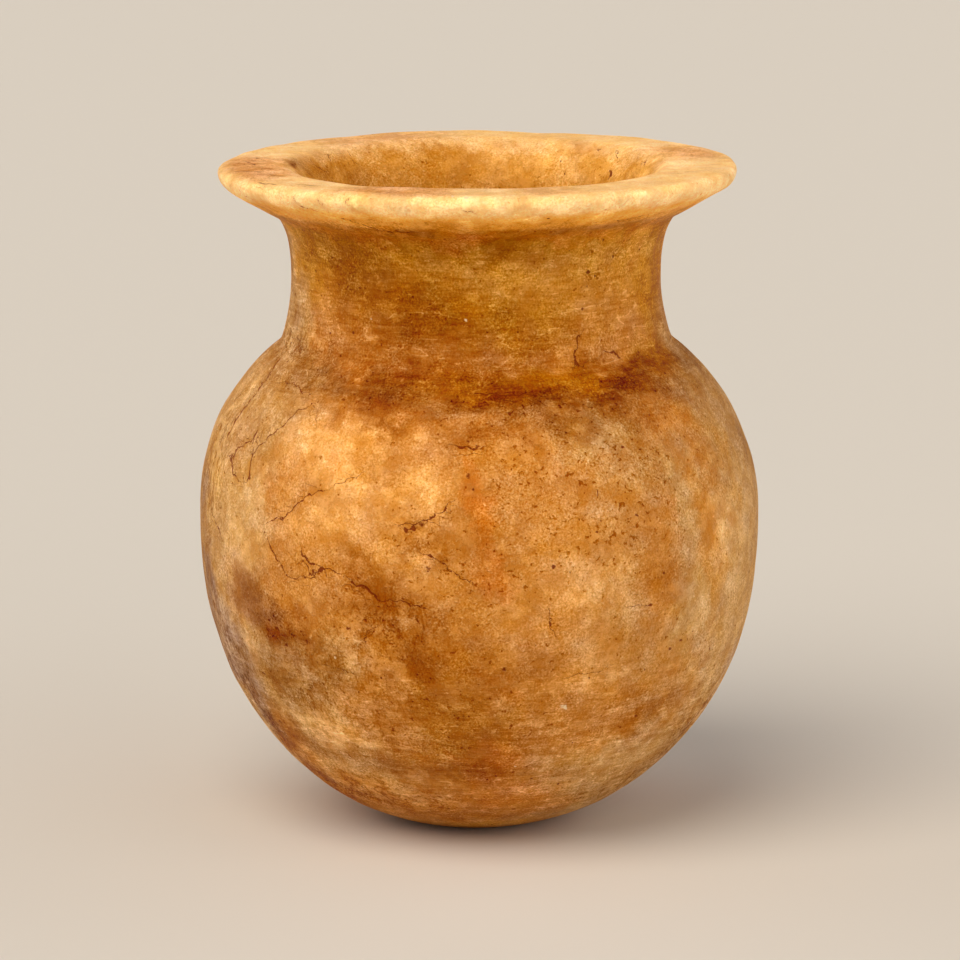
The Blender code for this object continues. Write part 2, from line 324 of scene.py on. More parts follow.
# Darker and lighter places: azimuth, height, half width, half height, and by how much
SHADES = [
    # brown soil stain round the shoulder
    (-52, 108.5, 14, 5.5, -0.13), (-43, 105, 9, 4, -0.1), (-26, 106, 13, 8, -0.14),
    (-25, 103.5, 9, 5, -0.12), (-4, 107, 18, 7, -0.1), (6, 105.5, 12, 4.5, -0.11),
    (24, 105.5, 16, 6, -0.07), (22, 103, 11, 3, -0.11), (44, 106, 13, 6, -0.14),
    (38, 103.8, 7, 3, -0.09), (48, 107, 6, 3.5, -0.09), (64, 108.5, 12, 3.5, -0.16),
    (70, 102, 18, 9, -0.07), (74, 92, 12, 10, -0.04), (-8, 101, 14, 3, -0.07), (-20, 109, 8, 3, -0.06),
    (8, 108, 14, 3, -0.05), (40, 108, 6, 5, -0.11), (-1, 104, 5, 2, -0.09), (16, 101.5, 10, 4, -0.13),
    (36, 100, 13, 3, -0.07), (-24, 99.5, 5, 2.5, -0.11), (0, 103.5, 7, 3, -0.07),
    (61, 104, 10, 3, -0.08), (-57, 104.5, 8, 4, -0.05), (10, 98.5, 9, 2.5, -0.07),
    # neck: darker places, partly stain and partly painted shade under the lip and at the far left and right
    (-15, 121, 8, 6.5, -0.17), (-41, 131, 8, 9, -0.14), (-20, 138, 16, 4, -0.08), (8, 137, 10, 4, -0.1),
    (6, 117, 12, 8, -0.11), (-31, 118, 9, 6, -0.09), (26, 114, 10, 6, -0.07), (72, 125, 7, 16, -0.1),
    (16, 130, 8, 4, 0.07), (32, 125, 8, 6, 0.02), (50, 138, 12, 4, -0.03), (-30, 126, 8, 4, -0.1),
    (-58, 133, 6, 4, -0.1), (-17, 115, 5, 3, -0.07), (-32, 144.5, 5, 1.5, 0.07), (-78, 144, 8, 3, -0.1),
    (76, 144, 8, 3, -0.14), (84, 128, 5, 16, -0.1), (-82, 134, 4, 10, -0.08),
    # painted shadow line along the neck just under the lip
    (-28, 140.9, 9, 0.9, -0.12), (-12, 141.3, 8, 1.1, -0.14), (6, 140.6, 9, 0.9, -0.08),
    (22, 141.3, 8, 1.1, -0.12), (-20, 142.4, 9, 1.2, -0.08), (20, 142.4, 8, 1.2, -0.06),
    (-56, 138, 5, 1.2, -0.08),
    # cleaner body, where the stone's own honey colour shows
    (-36, 94.5, 9, 9, 0.15), (-29, 85.5, 9, 6, 0.14), (-35, 77, 9, 6, 0.1), (-13, 86, 9, 6, 0.12),
    (-54, 80, 8, 7, 0.09), (-20, 79, 7, 7, 0.06), (-57, 69, 6, 5, 0.1), (-24, 95, 9, 6, 0.06),
    (-12, 97.5, 7, 2.5, 0.06), (-16, 72, 5, 4, 0.09), (-9, 68, 4, 4, 0.1), (20, 68, 12, 13, 0.08),
    (24, 45, 10, 6, 0.08), (62, 66, 9, 12, 0.05), (66, 42, 8, 10, 0.03), (-40, 30.5, 10, 4.5, 0.17),
    (-33, 27.5, 8, 3.5, 0.14), (-22, 34, 8, 5, 0.07), (-14, 30, 5, 5, 0.08), (-71, 52, 4, 4, 0.08),
    (-60, 47.6, 3, 2, 0.12), (15, 17, 9, 3.5, 0.04), (-28, 13, 9, 3, 0.05), (38, 25, 12, 7, 0.02),
    (-68, 91, 7, 10, 0.05), (60, 76, 6, 9, 0.04), (-72, 78, 5, 9, 0.05), (49, 56, 4, 8, 0.06),
    (-53, 19, 8, 4, 0.08), (-42, 14, 8, 3, 0.06), (-72, 82, 4, 5, 0.07), (-57, 64, 4, 4, 0.08),
    (-40, 59.5, 5, 3, 0.09),
    # stained body, and darker towards the foot; the tall rows at the far left and right are painted shade
    (1, 76, 3.5, 7, -0.05), (-20, 88, 3.5, 2.5, -0.07), (38, 94, 8, 10, -0.1), (-21, 63, 8, 3.5, -0.14),
    (-56, 61, 7, 5, -0.1), (-47, 55, 9, 6, -0.18), (-43, 50, 7, 2.5, -0.16), (-50, 42, 7, 5, -0.13),
    (-17, 54, 5, 4, -0.09), (-13, 48, 5, 4, -0.09), (-9, 40, 13, 15, -0.1), (2, 40, 4, 5, -0.08),
    (5, 28, 9, 6, -0.13), (-1, 20.5, 7, 4.5, -0.18), (-15, 21.5, 9, 2.5, -0.1), (-25, 23, 9, 3, -0.08),
    (0, 8, 30, 4, -0.09), (42, 34, 12, 5, -0.08), (12, 48, 8, 5, -0.06), (57, 69, 4, 6, 0.07),
    (0, 97, 6, 3, -0.1), (58, 90, 9, 9, -0.04), (-44, 38, 8, 3, -0.1), (-30, 49, 6, 2.5, -0.08),
    (-23, 70, 5, 5, -0.09), (-75, 62, 5, 12, -0.08), (-68, 34, 9, 9, -0.1), (-58, 24, 10, 6, -0.12),
    (-70, 18, 14, 8, -0.05), (70, 26, 14, 10, -0.1), (16, 20, 8, 4, -0.08), (-54, 14, 12, 5, -0.06),
    (78, 84, 4, 16, -0.05), (-42, 24.5, 7, 2.5, -0.09), (-41, 46, 8, 3.5, -0.08),
    (16, 38.5, 4, 3, -0.07), (-48, 34.5, 5, 2.5, -0.1), (-76, 24, 14, 10, -0.07),
    (-66, 11, 18, 9, -0.09), (68, 17, 14, 6, -0.09), (-82, 60, 5, 30, -0.1), (-36, 40, 6, 3, -0.07),
    (-16, 28.5, 10, 4, -0.08), (-68, 8, 12, 5, -0.05), (4, 14, 12, 3, -0.05), (84, 55, 6, 28, -0.07),
    (84, 100, 5, 20, -0.04), (72, 38, 7, 6, -0.06), (42, 14, 10, 6, -0.05),
    # painted rim light: lighter where the body turns away low down
    (-82, 26, 9, 16, 0.13), (-78, 12, 9, 6, 0.06), (82, 26, 8, 18, 0.13), (78, 12, 8, 6, 0.07),
    (84, 56, 5, 12, 0.06), (-75, 24, 7, 13, 0.1), (-75, 17, 7, 7, 0.06), (74, 24, 6, 15, 0.09),
    # hidden side of the shoulder and neck
    (95, 107, 15, 5, -0.12), (118, 106, 14, 6, -0.17), (143, 107, 14, 5, -0.14),
    (168, 105, 14, 6.5, -0.18), (-166, 107, 13, 5, -0.13), (-142, 105.5, 14, 6, -0.17),
    (-116, 107, 14, 5, -0.12), (-92, 107.5, 13, 5, -0.1), (110, 122, 10, 8, -0.12),
    (160, 133, 14, 6, -0.1), (-150, 120, 12, 9, -0.14), (-105, 134, 12, 6, -0.08),
    (175, 30, 18, 14, -0.1), (-120, 40, 14, 12, -0.08), (125, 80, 12, 14, 0.08),
    (-145, 84, 12, 12, 0.09),
    # lip, paler than the rest all round: partly its cream stone, partly painted light on its rim and
    # underside
    (0, 146.5, 70, 4.5, 0.17), (0, 144, 60, 2.5, 0.1), (-40, 148, 14, 2.5, 0.04),
    (-4, 147.5, 12, 2, 0.03), (160, 147, 90, 4, 0.06), (-72, 146.5, 12, 4, 0.06),
    (74, 146.5, 14, 4, 0.05),
]
# Random patches: count, turn, half widths, half heights, strengths and seed
HIDDEN_SHADES = (60, HIDDEN_TURN, (5, 14), (4, 10), (-0.09, 0.09), 60)
SMALL_SHADES = (90, WHOLE_TURN, (2.5, 6), (2.5, 5), (-0.07, 0.07), 61)  # they keep the stone uneven
PATCH_HEIGHTS = (12, 142)  # the range of their heights on the pot
# Darker and lighter places in the mouth and on the top of the lip
# the darker left and the lighter right of the inner wall are painted shade and painted light
MOUTH_SHADES = [
    (-101, 149.8, 4.5, 3, -0.24), (-94, 148.8, 5, 2.5, -0.22), (-108, 148, 7, 5, -0.1),
    (-122, 146.5, 8, 5, -0.09), (-134, 143, 5, 3, -0.08), (-150, 148.5, 8, 2, -0.04),
    (-166, 148.8, 5, 1.5, -0.06), (-168, 144, 7, 4, -0.03), (152, 144.5, 19, 6.5, 0.1),
    (176, 145.5, 7, 3, 0.06), (126, 144, 2.5, 2.5, -0.1), (112, 148.8, 6, 2, -0.06),
    (98, 147.5, 6, 2.5, 0.06), (60, 150, 24, 5, 0.05), (-78, 150, 34, 9, 0.09), (98, 150, 34, 9, 0.07),
]
# Places of another hue: azimuth, height, half width, half height, strength
HUES = {
    # tan: its tall rows at the far left and right are partly painted rim light, paler and greyer there
    "tan": [
        (70, 76, 16, 50, 1.0), (56, 40, 18, 22, 0.5), (47, 78, 6, 14, 0.8), (36, 92, 14, 12, 0.6),
        (30, 50, 14, 14, 0.5), (-70, 80, 16, 44, 1.0), (-52, 72, 9, 24, 0.6), (-50, 98, 12, 10, 0.6),
        (-72, 124, 10, 18, 0.8), (-48, 38, 18, 16, 0.8), (34, 20, 26, 12, 0.8), (-26, 20, 24, 12, 0.5),
        (0, 104, 60, 5, 0.5), (26, 72, 14, 14, 0.4), (-40, 108, 24, 5, 0.4), (-30, 48, 10, 8, 0.5),
        (66, 14, 20, 12, 1.0), (-77, 22, 9, 15, 0.9), (60, 6, 24, 8, 1.0), (24, 98, 12, 5, 0.6),
        (-90, 74, 14, 60, 1.0), (90, 74, 14, 60, 1.0), (48, 57, 6, 9, 0.8),
    ],
    "amber": [
        (0, 130, 80, 12, 0.75), (0, 139.5, 90, 4.5, 0.85), (4, 118, 30, 6, 0.4),
        (18, 106.5, 40, 5.5, 0.9), (68, 124, 8, 12, 0.8), (-66, 10, 12, 5, 0.3), (-4, 36, 16, 16, 0.5),
        (8, 4, 20, 5, 0.6), (-14, 66, 10, 10, 0.3), (66, 82, 5, 16, 0.5), (56, 58, 5, 10, 0.5),
        (62, 110, 9, 5, 0.6), (-60, 132, 6, 8, 0.6),
    ],
    "rust": [
        (-1, 88, 3, 5, 0.65), (1, 78, 3.5, 9, 0.62), (4, 66, 5, 6, 0.55), (-31, 91, 3, 5, 0.5),
        (-13, 99, 9, 3, 0.3), (-6, 70, 8, 4, 0.3), (4, 44, 7, 10, 0.4), (41, 82, 4, 5, 0.3),
        (3, 26, 9, 5, 0.4), (6, 16, 16, 12, 0.5), (-26, 70, 6, 4, 0.3), (0, 139.5, 90, 4.5, 0.6),
        (-15, 120, 8, 6, 0.3), (-45, 51, 5, 3, 0.5),
    ],
    "plum": [
        (-57, 60, 10, 8, 0.9), (-50, 54, 9, 4, 0.6), (-17, 57, 9, 6, 0.4), (-72, 112, 10, 5, 0.3),
        (-64, 92, 10, 10, 0.6),
    ],
    "ashen": [
        (-74, 58, 7, 8, 1.0), (-66, 47, 8, 8, 1.0), (-64, 36, 9, 8, 0.8), (-66, 26, 10, 6, 0.6),
        (74, 36, 5, 14, 0.6), (-80, 80, 4, 20, 0.5), (-80, 42, 8, 12, 1.0),
    ],
    "specked": [
        (20, 90, 22, 14, 1.0), (26, 74, 18, 10, 0.9), (-14, 79, 8, 4, 0.8), (-8, 70, 9, 5, 0.8),
        (6, 66, 6, 6, 0.6), (-46, 52, 8, 4, 1.0), (42, 86, 8, 12, 0.7), (-22, 56, 12, 8, 0.6),
        (24, 104, 30, 4, 0.3), (38, 130, 6, 6, 0.7), (-6, 40, 20, 12, 0.5), (38, 52, 14, 8, 0.5),
        (-20, 104, 20, 6, 0.3), (150, 80, 30, 20, 0.7), (-150, 60, 30, 20, 0.6), (110, 110, 20, 8, 0.6),
        (170, 125, 16, 8, 0.5),
    ],
    "creased": [
        (-72, 34, 12, 26, 1.0), (-74, 84, 8, 18, 0.8), (70, 24, 12, 14, 1.0), (50, 12, 20, 6, 0.7),
        (-40, 12, 24, 8, 0.8), (-34, 36, 20, 14, 0.5), (-20, 56, 14, 10, 0.5), (-70, 112, 12, 6, 0.8),
    ],
}
ROSY_CREASES = 0.5  # how creased a rosy place is
# Rosier places of the lip's top: azimuth, half width in degrees, strength
ROSY_PLACES = [(-20, 16, 0.9), (-80, 24, 1.0), (-150, 24, 0.7), (108, 16, 0.8), (18, 10, 0.6)]
# How many more places of each hue are scattered over the hidden side
HIDDEN_HUES = {"tan": 16, "amber": 8, "rust": 12, "plum": 4, "ashen": 5, "specked": 10, "creased": 8}
HIDDEN_HUE_RANGES, HUE_SEED = ((5, 14), (4, 10), (0.2, 0.5)), 70  # sizes and strengths
# How a patch's edge strays from an ellipse: size, how far, and seed
SWAYS = [(16, 0.9, 42), (6, 0.9, 44), (2.5, 0.45, 46)]


def spread(start, end, gap):
    """Places from start to end whose spacing follows gap, a function of place."""
    fine = np.linspace(start, end, 4000)
    steps = np.concatenate([[0], np.cumsum(np.diff(fine) / gap((fine[1:] + fine[:-1]) / 2))])
    return np.interp(np.linspace(0, steps[-1], int(steps[-1]) + 1), steps, fine)


def grid():
    """Azimuth and distance along the outline of each vertex but the poles, as rows round the pot."""
    gaps = list(ROW_GAPS.values()) + [ROW_GAPS["underside"]]
    starts = list(STARTS.values())
    rows = spread(STARTS["hollow"], STARTS["end"], lambda along: np.interp(along, starts, gaps))
    columns = spread(-180, 180, lambda azimuth: np.where(abs(azimuth) < FRONT_HALF, FRONT_GAP, BACK_GAP))
    along, azimuth = np.meshgrid(rows[1:-1], columns[:-1], indexing="ij")
    return azimuth, along


def offsets(azimuth, along, path, reach):
    """Which vertices lie within reach of a path's samples (azimuth, along), the nearest sample of each,
    and the offset from it in millimetres: radius times the difference in azimuth, and the difference
    along the outline."""
    middle = path[:, 0].mean()
    turned = (azimuth - middle + 180) % 360 - 180
    radius = radius_at(along).clip(LEAST_RADIUS)
    low, high = path.min(axis=0), path.max(axis=0)
    margin = np.degrees(reach / radius)
    inside = (turned > low[0] - middle - margin) & (turned < high[0] - middle + margin)
    picked = np.flatnonzero(inside & (along > low[1] - reach) & (along < high[1] + reach))
    across = np.radians(turned[picked, None] - (path[:, 0] - middle)) * radius[picked, None]
    down = along[picked, None] - path[:, 1]
    nearest = np.argmin(across**2 + down**2, axis=1)
    each = np.arange(len(picked))
    return picked, nearest, across[each, nearest], down[each, nearest]


def headings(line):
    """Unit vectors along a line of points."""
    heading = np.gradient(line, axis=0)
    return heading / np.hypot(*heading.T)[:, None]


def crack_path(points, along_at, random):
    """Samples between the points, moved sideways by two sine waves, and the heading in mm at each."""
    corners = np.array([(azimuth, along_at(height)) for azimuth, height in points], float)
    scale = np.array([math.radians(1) * radius_at(corners[:, 1].mean()), 1.0])
    flat = corners * scale
    reached = np.concatenate([[0], np.cumsum(np.hypot(*np.diff(flat, axis=0).T))])
    place = np.arange(0, reached[-1], STEP)
    line = np.stack([np.interp(place, reached, flat[:, i]) for i in (0, 1)], axis=1)
    heading = headings(line)
    phase = random.uniform(0, 2 * math.pi, 2)
    sway = np.sin(2 * math.pi * place / WANDER_LENGTH + phase[0])
    sway += SECOND_WANDER * np.sin(2 * math.pi * place / (SECOND_LENGTH * WANDER_LENGTH) + phase[1])
    line += WANDER * sway[:, None] * np.stack([-heading[:, 1], heading[:, 0]], axis=1)
    return line / scale, headings(line)


def scattered_pits():
    """Small pits at random places on the outside, more of them at the front, which is more weathered."""
    random = np.random.default_rng(PIT_SEED)
    front = random.uniform(*FRONT_TURN, FRONT_PITS)
    behind = random.uniform(*HIDDEN_TURN, HIDDEN_PITS)
    azimuth = np.concatenate([front, behind])
    height = random.uniform(*PIT_HEIGHTS, len(azimuth))
    radius = random.uniform(*PIT_RADII, len(azimuth))
    return np.stack([azimuth, height, radius, radius * PIT_DEPTH], axis=1)


def swell(points, size, seed):
    """Smooth unevenness of about this size: the sum of sine waves in random directions, of spread 1."""
    random = np.random.default_rng(seed)
    direction = random.normal(size=(WAVES, 3))
    direction /= np.linalg.norm(direction, axis=1)[:, None]
    waves = direction / (size * random.uniform(*WAVE_LENGTHS, WAVES))[:, None]
    phase = random.uniform(0, 2 * math.pi, WAVES)
    return np.sin(2 * math.pi * points @ waves.T + phase).sum(axis=1) / math.sqrt(WAVES / 2)


def gathered(azimuth, along, features):
    """Vertices drawn towards the nearest crack or pit, so that it is finely meshed: their distance d from
    it becomes reach times (d / reach) to the power pull."""
    closest = np.full(azimuth.shape, np.inf)
    moves = np.zeros(azimuth.shape + (2,))
    for path, reach, pull in features:
        picked, _, across, down = offsets(azimuth, along, path, reach)
        distance = np.hypot(across, down)
        closer = (distance < reach) & (distance < closest[picked])
        picked, distance = picked[closer], distance[closer]
        closest[picked] = distance
        shift = (distance / reach) ** (pull - 1) - 1
        moves[picked] = np.stack([across[closer] * shift, down[closer] * shift], axis=1)
    azimuth = azimuth + np.degrees(moves[:, 0] / radius_at(along).clip(LEAST_RADIUS))
    return azimuth, along + moves[:, 1]


def turned_points(azimuth, along, relief):
    """Points (r sin azimuth, -r cos azimuth, z), moved outwards by relief along the outline's normal."""
    slope_r = np.interp(along, ALONG, np.gradient(OUTLINE_R, ALONG))
    slope_z = np.interp(along, ALONG, np.gradient(OUTLINE_Z, ALONG))
    radius = radius_at(along) - relief * slope_z
    height = height_at(along) + relief * slope_r
    angle = np.radians(azimuth)
    return np.stack([radius * np.sin(angle), -radius * np.cos(angle), height], axis=1)


def cut_cracks(azimuth, along, relief, cracks):
    """Cuts grooves of depth times taper times exp(-(d / (half width + GROOVE_EDGE))^2), d being the
    distance from the crack. Gives each vertex its signed distance from the line of the nearest crack, and
    the half width there, which is 0 away from cracks."""
    aside, width = np.full(azimuth.shape, STROKE_EDGE), np.zeros(azimuth.shape)
    closest = np.full(azimuth.shape, STROKE_EDGE)
    for (half_width, depth), path, heading in cracks:
        picked, nearest, across, down = offsets(azimuth, along, path, STROKE_REACH)
        distance = np.hypot(across, down)
        taper = (np.minimum(nearest, len(path) - 1 - nearest) * STEP / TAPER_LENGTH).clip(TAPER_END, 1)
        groove = taper * np.exp(-((distance / (half_width + GROOVE_EDGE)) ** 2))
        relief[picked] = np.minimum(relief[picked], -depth * groove)
        closer = distance < closest[picked]
        picked, nearest, distance = picked[closer], nearest[closer], distance[closer]
        closest[picked] = distance
        ahead = heading[nearest]
        beyond = abs(across[closer] * ahead[:, 0] + down[closer] * ahead[:, 1])
        aside[picked] = across[closer] * ahead[:, 1] - down[closer] * ahead[:, 0]
        width[picked] = half_width * taper[closer] * (1 - beyond).clip(0, 1)
    return aside, width


def cut_spots(azimuth, along, relief, rounds):
    """Raises or sinks round spots (path, radius, rise) by rise times exp(-(d / radius)^3), and gives each
    vertex its distance from the middle of the nearest spot in radii."""
    reach = np.full(azimuth.shape, NOWHERE)
    for path, radius, rise in rounds:
        picked, _, across, down = offsets(azimuth, along, path, NOWHERE * radius)
        distance = np.hypot(across, down) / radius
        relief[picked] += rise * np.exp(-(distance**3))
        reach[picked] = np.minimum(reach[picked], distance)
    return reach


def spots(rows, along_at, way):
    """Each spot as a path of one sample, its radius, and how far it stands out: way is -1 for pits."""
    return [
        (np.array([[azimuth, along_at(height)]]), radius, way * rise)
        for azimuth, height, radius, rise in rows
    ]


def worn_surface():
    """Where each vertex lies, how far it stands out, and what its nearest cracks and spots are."""
    azimuth, along = (values.ravel() for values in grid())
    random = np.random.default_rng(CRACK_SEED)
    outside_cracks = SHOULDER_CRACKS + BODY_CRACKS + NECK_CRACKS + LIP_CRACKS + HIDDEN_CRACKS
    cracks = [(kind, *crack_path(points, along_outside, random)) for kind, points in outside_cracks]
    cracks += [(kind, *crack_path(points, along_mouth, random)) for kind, points in MOUTH_CRACKS]
    cracks += [(kind, *crack_path(points, along_top, random)) for kind, points in LIP_TOP_CRACKS]
    pits = spots(np.concatenate([NAMED_PITS, scattered_pits()]), along_outside, -1)
    pits += spots(MOUTH_PITS, along_mouth, -1)
    grains = spots(SPAR_GRAINS, along_outside, 1)
    features = [(path, STROKE_REACH, STROKE_PULL) for _, path, _ in cracks]
    features += [(path, PIT_REACH, PIT_PULL) for path, _, _ in pits + grains]
    azimuth, along = gathered(azimuth, along, features)

    relief = np.zeros(azimuth.shape)
    aside, width = cut_cracks(azimuth, along, relief, cracks)
    marks = {"crack_aside": aside, "crack_width": width}
    marks["pit"] = cut_spots(azimuth, along, relief, pits)
    marks["spar"] = cut_spots(azimuth, along, relief, grains)
    for path, radius, depth in spots(FLAKES, along_outside, 1):
        picked, _, across, down = offsets(azimuth, along, path, radius)
        relief[picked] -= depth * (1 - (across**2 + down**2) / radius**2).clip(0)
    plain = turned_points(azimuth, along, 0)
    seated = (plain[:, 2] / SEAT_HEIGHT).clip(0, 1)
    relief += sum(height * seated * swell(plain, size, seed) for size, height, seed in SWELLS)
    # No swell is wider than the body was turned
    relief = np.minimum(relief, BODY_RADIUS - radius_at(along))
    return azimuth, along, relief, marks


def leaned(points):
    """The middle of each height moved as the carving leans, and the lip tilted, within the CAD box."""
    points = points.copy()
    tilted = ((points[:, 2] - TILT_START) / TILT_RUN).clip(0, 1) ** 2
    points[:, 2] += math.tan(LIP_TILT) * points[:, 0] * tilted
    points[:, 0] += np.interp(points[:, 2], AXIS_HEIGHTS, AXIS_SHIFTS)
    points[:, 2] = points[:, 2].clip(0, HEIGHT)
    points[:, :2] *= np.minimum(1, BODY_RADIUS / abs(points[:, :2]).max(axis=0))
    return points


def random_patches(count, turn, widths, heights, strengths, seed):
    """Patches at random places within a turn, their sizes and strengths within these ranges."""
    random = np.random.default_rng(seed)
    return np.stack([
        random.uniform(*turn, count),
        random.uniform(*PATCH_HEIGHTS, count),
        random.uniform(*widths, count),
        random.uniform(*heights, count),
        random.uniform(*strengths, count),
    ], axis=1)


def patched(azimuth, along, sway, patches, along_at):
    """The sum over the patches of amount times exp(-q^1.4), where q = (across / half width)^2 + (down /
    half height)^2, with sway added to both offsets so that no patch is a true ellipse."""
    total = np.zeros(azimuth.shape)
    radius = radius_at(along).clip(LEAST_RADIUS)
    for spot, height, half_width, half_height, amount in patches:
        across = np.radians((azimuth - spot + 180) % 360 - 180) * radius + sway[0]
        down = along - along_at(height) + sway[1]
        total += amount * np.exp(-(((across / half_width) ** 2 + (down / half_height) ** 2) ** 1.4))
    return total


def colour_guides(azimuth, along, sway):
    """For each vertex, how much of each shade and hue the stone shows there."""
    outside = along > STARTS["lip"]
    shades = np.concatenate([SHADES, random_patches(*HIDDEN_SHADES), random_patches(*SMALL_SHADES)])
    shade = patched(azimuth, along, sway, shades, along_outside)
    mouth_shade = patched(azimuth, along, sway, MOUTH_SHADES, along_mouth)
    guides = {"shade": np.where(outside, shade, mouth_shade)}
    for seed, (name, patches) in enumerate(HUES.items(), HUE_SEED):
        hidden = random_patches(HIDDEN_HUES[name], HIDDEN_TURN, *HIDDEN_HUE_RANGES, seed)
        places = np.concatenate([patches, hidden])
        guides[name] = outside * patched(azimuth, along, sway, places, along_outside)
    cream_reach = np.where(along < LIP_TOP, CREAM_INWARD, CREAM_OUTWARD)
    guides["cream"] = np.exp(-(((along - LIP_TOP) / cream_reach) ** 4))
    guides["peach"] = np.exp(-(((along - LIP_UNDER) / PEACH_REACH) ** 4))
    rosy = sum(
        amount * np.exp(-((((azimuth - place + 180) % 360 - 180) / half) ** 4))
        for place, half, amount in ROSY_PLACES
    )
    guides["rosy"] = rosy * np.exp(-(((along - INNER_LIP) / ROSY_REACH) ** 4))
    guides["creased"] += ROSY_CREASES * guides["rosy"]
    guides["golden"] = ((GOLDEN_START - along) / GOLDEN_RUN).clip(0, 1)
    guides["tooled"] = sum(
        np.exp(-(((along - along_outside(height)) / reach) ** 4)) for height, reach in TOOLED_BANDS
    )
    return guides


def faces(rows, columns):
    """Quads between the rows, with a fan of triangles at each pole. All face outwards."""
    at = np.arange(rows * columns).reshape(rows, columns)
    beside = np.roll(at, -1, axis=1)
    quads = np.stack([at[:-1], at[1:], beside[1:], beside[:-1]], axis=-1).reshape(-1, 4)
    first, last = rows * columns, rows * columns + 1
    top = np.stack([np.full(columns, first), at[0], beside[0]], axis=1)
    bottom = np.stack([at[-1], np.full(columns, last), beside[-1]], axis=1)
    return quads.tolist() + top.tolist() + bottom.tolist()


def make_pot():
    """The pot's mesh, with the guides that colour it as attributes of its vertices."""
    rows, columns = grid()[0].shape
    azimuth, along, relief, marks = worn_surface()
    points = leaned(turned_points(azimuth, along, relief))
    poles = np.array([[0, 0, FLOOR], [0, 0, 0]])
    mesh = bpy.data.meshes.new("weathered_pot")
    mesh.from_pydata(np.concatenate([points, poles]) * MM, [], faces(rows, columns))
    sway = [sum(reach * swell(points, size, seed + side) for size, reach, seed in SWAYS) for side in (0, 1)]
    for name, values in (marks | colour_guides(azimuth, along, sway)).items():
        attribute = mesh.attributes.new(name, "FLOAT", "POINT")
        attribute.data.foreach_set("value", np.append(values, values[[0, -1]]).astype(np.float32))
    mesh.shade_smooth()
    mesh.validate()
    pot = bpy.data.objects.new("weathered_pot", mesh)
    bpy.context.scene.collection.objects.link(pot)
    return pot


def linear(code):
    """A colour for a shader from its sRGB hex code."""
    parts = [int(code[i:i + 2], 16) / 255 for i in (1, 3, 5)]
    return [p / 12.92 if p <= 0.04045 else ((p + 0.055) / 1.055) ** 2.4 for p in parts] + [1]


def add(tree, kind, sockets=None, **settings):
    """Adds a shader node. Settings are its properties. Sockets are its inputs: values or outputs."""
    node = tree.nodes.new("ShaderNode" + kind)
    for name, value in settings.items():
        setattr(node, name, value)
    for name, value in (sockets or {}).items():
        if isinstance(value, bpy.types.NodeSocket):
            tree.links.new(value, node.inputs[name])
        else:
            node.inputs[name].default_value = value
    return node


def new_material(name):
    """An empty material's node tree and its Principled shader, which is linked to the output."""
    material = bpy.data.materials.new(name)
    material.use_nodes = True
    material.node_tree.nodes.clear()
    shader = add(material.node_tree, "BsdfPrincipled")
    add(material.node_tree, "OutputMaterial", {"Surface": shader.outputs[0]})
    return material, material.node_tree, shader


HONEY = "#D08B3E"
# Hues over the honey colour where the guide of that name says so, and how fully each covers
HUE_LAYERS = [
    ("tan", "#CE9B5C", 1.0),
    ("amber", "#D08B1E", 1.0),
    ("rust", "#DA7C1E", 0.9),
    ("plum", "#BA824E", 0.9),
    ("ashen", "#BA9270", 0.9),
    ("golden", "#D8963C", 1.0),
    # peach stands partly for painted light on the lip's underside
    ("peach", "#F8AA3C", 1.0),
    ("cream", "#FFCC86", 1.0),
    ("rosy", "#EAA566", 0.9),
]
# How strongly each pattern lightens and darkens the stone, as a part of full white
CLOUD_TONE, WORN_TONE, MOTTLE_TONE, GRAIN_TONE, LINE_TONE = 0.05, 0.03, 0.25, 0.38, 0.38
STAIN_TONE, FLAKY_TONE, SOILED_TONE, SPECK_TONE, CRUMB_TONE = 0.12, 0.04, -0.05, -0.2, 0.12
SCRATCH_TONE, CREASE_TONE = 0.12, -0.22
DISPLAY = 2.2  # tones are added as the eye sees them, so the colour is put to this power only afterwards
TONE_AXIS = (0.85, 1.0, 1.15)  # a darker grain loses this much red, green and blue
# the same axis serves the painted shade and light of the shade guide
STAIN_AND_PAINTED_SHADE_AXIS = (0.96, 1.0, 0.9)  # and a stained place this much
WARMTH_AXIS = (0.08, 0.0, -0.2)  # a warmer place gains this much red, green and blue
DIRT, SPAR = "#7A2800", "#F4D9AE"
ROUGHNESS = (0.48, 0.62)  # from the dull to the dullest crystal
STONE_IOR, STONE_SPECULAR = 1.56, 0.04
# Light goes a little way into the stone: how much of it, how far in each of red, green and blue, and the
# length in metres that these are parts of
SUBSURFACE_WEIGHT, SUBSURFACE_RADIUS, SUBSURFACE_SCALE = 0.12, (1.0, 0.5, 0.2), 0.0015


